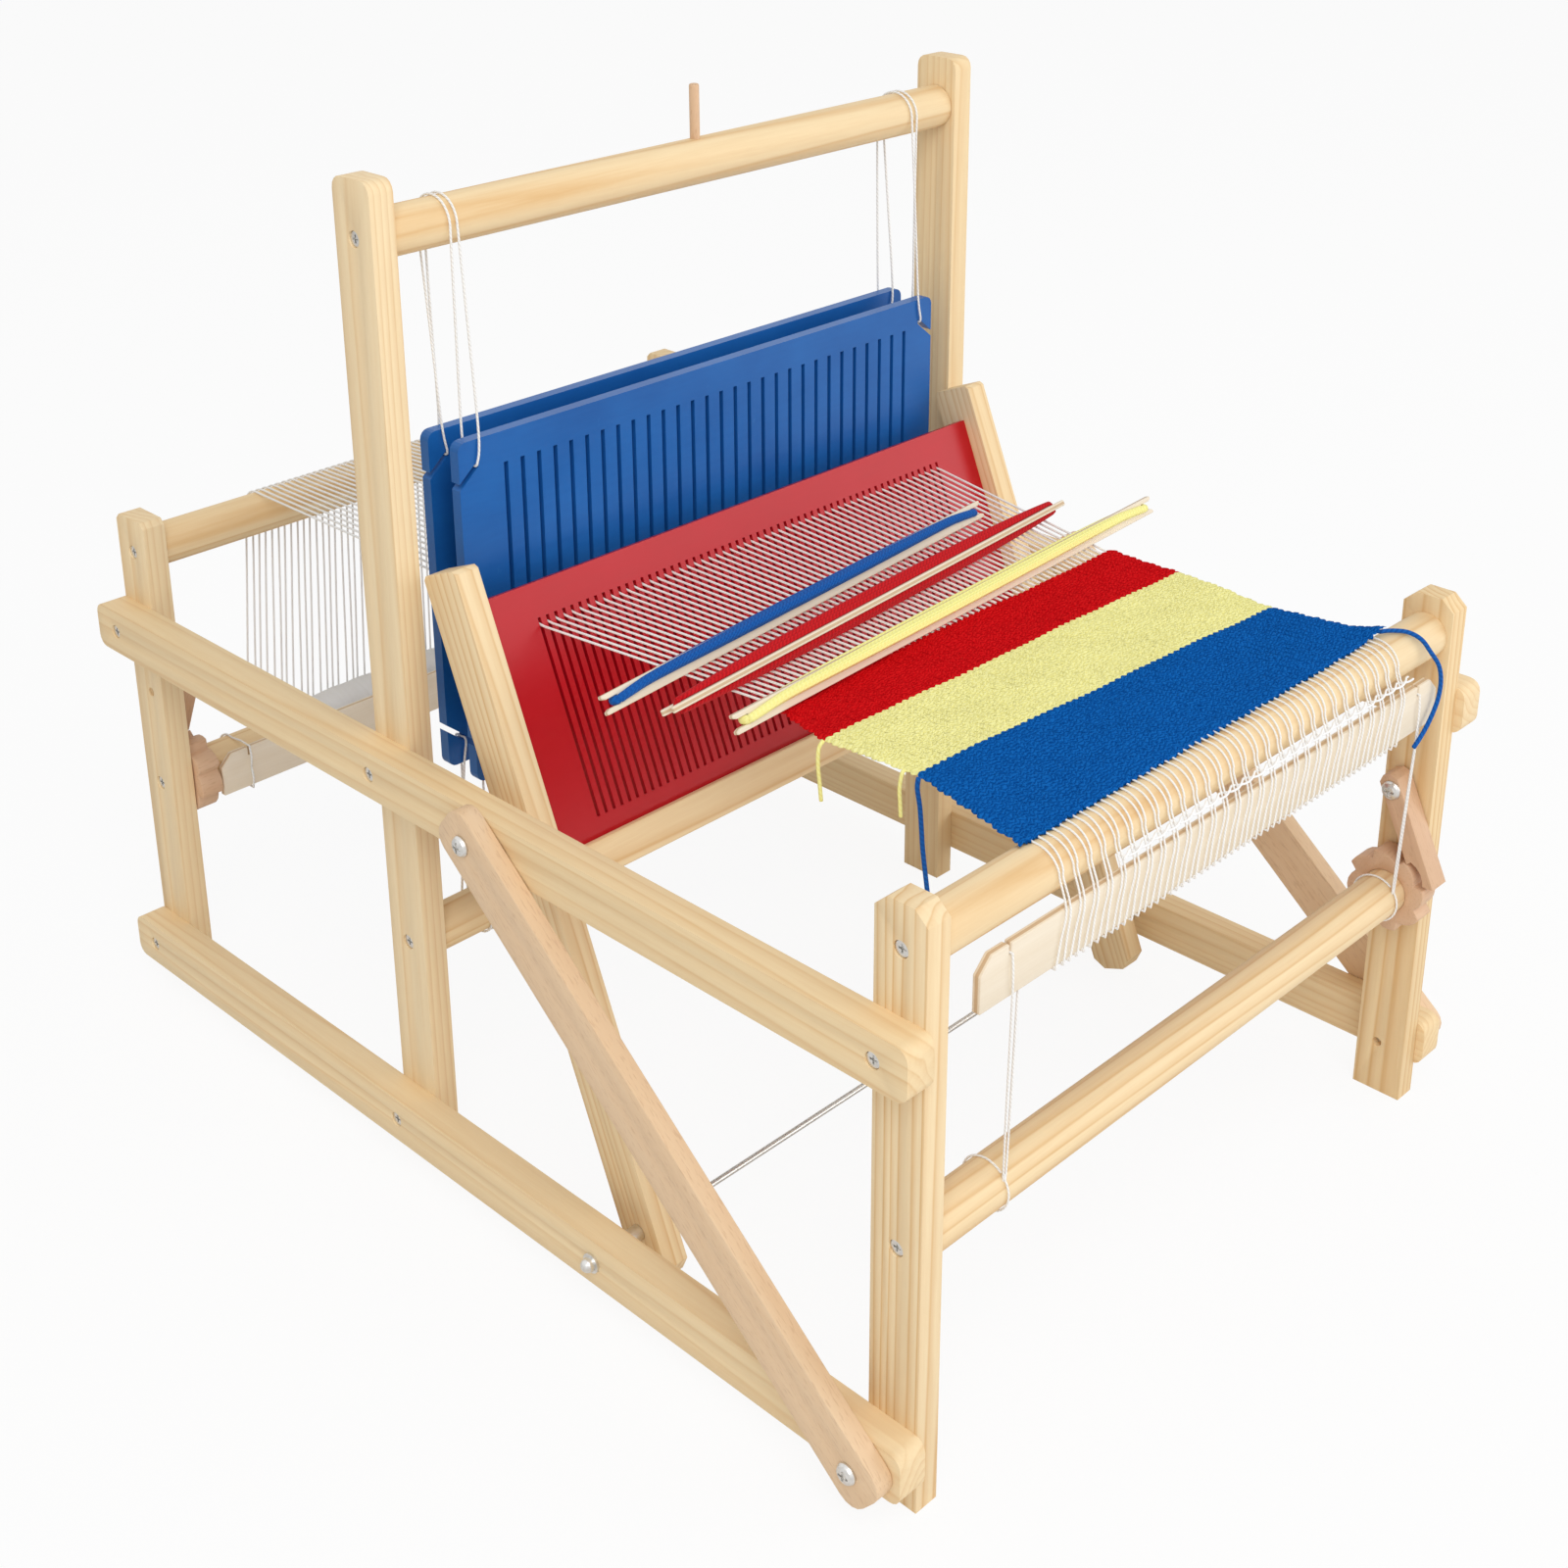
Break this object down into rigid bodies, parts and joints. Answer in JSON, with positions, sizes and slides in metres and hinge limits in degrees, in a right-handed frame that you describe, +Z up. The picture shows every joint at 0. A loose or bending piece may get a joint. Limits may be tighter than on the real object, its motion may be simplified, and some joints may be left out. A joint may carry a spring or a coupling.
{
  "type": "table loom",
  "caption": "Small two-shaft table loom in pine with slotted heddle boards, a swinging reed, ratchet rollers, striped half-woven cloth and wound stick shuttles.",
  "frame": {"origin": "centre of the loom's footprint on the floor", "axes": "+Z up, the cloth side faces -Y, +X to the weaver's right"},
  "size_m": [0.4568, 0.6044, 0.5225],
  "materials": {
    "pine": "clear pine with a dull natural surface",
    "plywood": "thin sanded plywood",
    "beech": "plain sanded beech",
    "blue_board": "satin blue paint on thin board",
    "red_board": "satin red paint on thin board",
    "zinc_steel": "zinc-plated steel",
    "white_cotton": "white cotton thread",
    "blue_wool": "blue wool yarn",
    "red_wool": "red wool yarn",
    "yellow_wool": "pale yellow wool yarn"
  },
  "bodies": {
    "frame": {"left_rear_post": "pine", "right_rear_post": "pine", "left_shaft_post": "pine", "right_shaft_post": "pine", "left_front_post": "pine", "right_front_post": "pine", "left_upper_rail": "pine", "right_upper_rail": "pine", "left_lower_rail": "pine", "right_lower_rail": "pine", "left_brace": "beech", "right_brace": "beech", "back_beam": "pine", "breast_beam": "pine", "batten_axle": "zinc_steel", "axle_fittings": "zinc_steel", "upper_heddle_cords": "white_cotton", "lower_heddle_cords": "white_cotton", "cloth_stick": "plywood", "cloth_stick_ties": "white_cotton", "warp_threads": "white_cotton", "rear_warp": "white_cotton", "red_stripe": "red_wool", "yellow_stripe": "yellow_wool", "blue_stripe": "blue_wool", "warp_loops": "white_cotton", "twined_cord": "white_cotton", "yellow_tails": "yellow_wool", "left_blue_tail": "blue_wool", "right_blue_tail": "blue_wool", "frame_screws": "zinc_steel", "pan_screws": "zinc_steel"},
    "top_roller": {"top_roller": "pine", "roller_handle": "beech", "top_roller_screws": "zinc_steel"},
    "lower_roller": {"lower_heddle_roller": "pine", "lower_roller_screws": "zinc_steel"},
    "warp_drum": {"warp_roller": "pine", "warp_ratchet": "beech", "warp_roller_screws": "zinc_steel", "wound_warp": "white_cotton", "warp_stick": "pine", "warp_stick_ties": "white_cotton"},
    "cloth_drum": {"cloth_roller": "pine", "cloth_ratchet": "beech", "cloth_roller_screws": "zinc_steel"},
    "warp_pawl": {"warp_pawl": "beech"},
    "cloth_pawl": {"cloth_pawl": "beech"},
    "batten": {"left_batten_arm": "pine", "right_batten_arm": "pine", "batten_crossbar": "pine", "reed": "red_board"},
    "front_shaft": {"front_heddle": "blue_board"},
    "back_shaft": {"back_heddle": "blue_board"},
    "blue_shuttle": {"blue_shuttle": "plywood", "blue_yarn": "blue_wool"},
    "red_shuttle": {"red_shuttle": "plywood", "red_yarn": "red_wool"},
    "yellow_shuttle": {"yellow_shuttle": "plywood", "yellow_yarn": "yellow_wool"}
  },
  "joints": [
    {"name": "front_shaft_slide", "type": "slide", "parent": "frame", "child": "front_shaft", "axis": [0, 0, 1], "range_m": [-0.0087, 0.0087], "deforming": ["upper_heddle_cords", "lower_heddle_cords", "warp_threads"]},
    {"name": "top_roller_turn", "type": "hinge", "parent": "frame", "child": "top_roller", "pos_m": [0, 0.046, 0.484], "axis": [1, 0, 0], "range_deg": [-41, 41], "deforming": ["upper_heddle_cords", "lower_heddle_cords", "warp_threads"]},
    {"name": "back_shaft_slide", "type": "slide", "parent": "frame", "child": "back_shaft", "axis": [0, 0, 1], "range_m": [-0.009, 0.009], "deforming": ["upper_heddle_cords", "lower_heddle_cords", "warp_threads"]},
    {"name": "lower_roller_turn", "type": "hinge", "parent": "frame", "child": "lower_roller", "pos_m": [0, 0.046, 0.127], "axis": [1, 0, 0], "range_deg": [-41, 41], "deforming": ["upper_heddle_cords", "lower_heddle_cords", "warp_threads"]},
    {"name": "batten_swing", "type": "hinge", "parent": "frame", "child": "batten", "pos_m": [0, -0.1045, 0.0295], "axis": [1, 0, 0], "range_deg": [0, 25], "deforming": ["warp_threads"]},
    {"name": "cloth_roller_turn", "type": "hinge", "parent": "frame", "child": "cloth_drum", "pos_m": [0, -0.276, 0.129], "axis": [1, 0, 0], "continuous": true, "deforming": ["cloth_stick_ties"]},
    {"name": "warp_roller_turn", "type": "hinge", "parent": "frame", "child": "warp_drum", "pos_m": [0, 0.276, 0.128], "axis": [1, 0, 0], "continuous": true, "deforming": ["rear_warp"]},
    {"name": "cloth_pawl_swing", "type": "hinge", "parent": "frame", "child": "cloth_pawl", "pos_m": [0.18, -0.2741, 0.1864], "axis": [1, 0, 0], "range_deg": [-94.5, 5.4]},
    {"name": "warp_pawl_swing", "type": "hinge", "parent": "frame", "child": "warp_pawl", "pos_m": [-0.18, 0.2741, 0.1854], "axis": [1, 0, 0], "range_deg": [-5.4, 94.5]},
    {"name": "blue_shuttle_push", "type": "slide", "parent": "frame", "child": "blue_shuttle", "axis": [0, -0.9988, -0.0485], "range_m": [0, 0.09]},
    {"name": "red_shuttle_push", "type": "slide", "parent": "frame", "child": "red_shuttle", "axis": [0, -0.9988, -0.0485], "range_m": [0, 0.09]},
    {"name": "yellow_shuttle_push", "type": "slide", "parent": "frame", "child": "yellow_shuttle", "axis": [0, -0.9988, -0.0485], "range_m": [0, 0.09]}
  ],
  "couplings": [
    {"joint": "top_roller_turn", "follows": "front_shaft_slide", "rad_per_m": -80},
    {"joint": "back_shaft_slide", "follows": "front_shaft_slide", "ratio": -1},
    {"joint": "lower_roller_turn", "follows": "front_shaft_slide", "rad_per_m": -80},
    {"joint": "blue_shuttle_push", "follows": "batten_swing", "m_per_rad": 0.2},
    {"joint": "red_shuttle_push", "follows": "batten_swing", "m_per_rad": 0.2},
    {"joint": "yellow_shuttle_push", "follows": "batten_swing", "m_per_rad": 0.2}
  ]
}
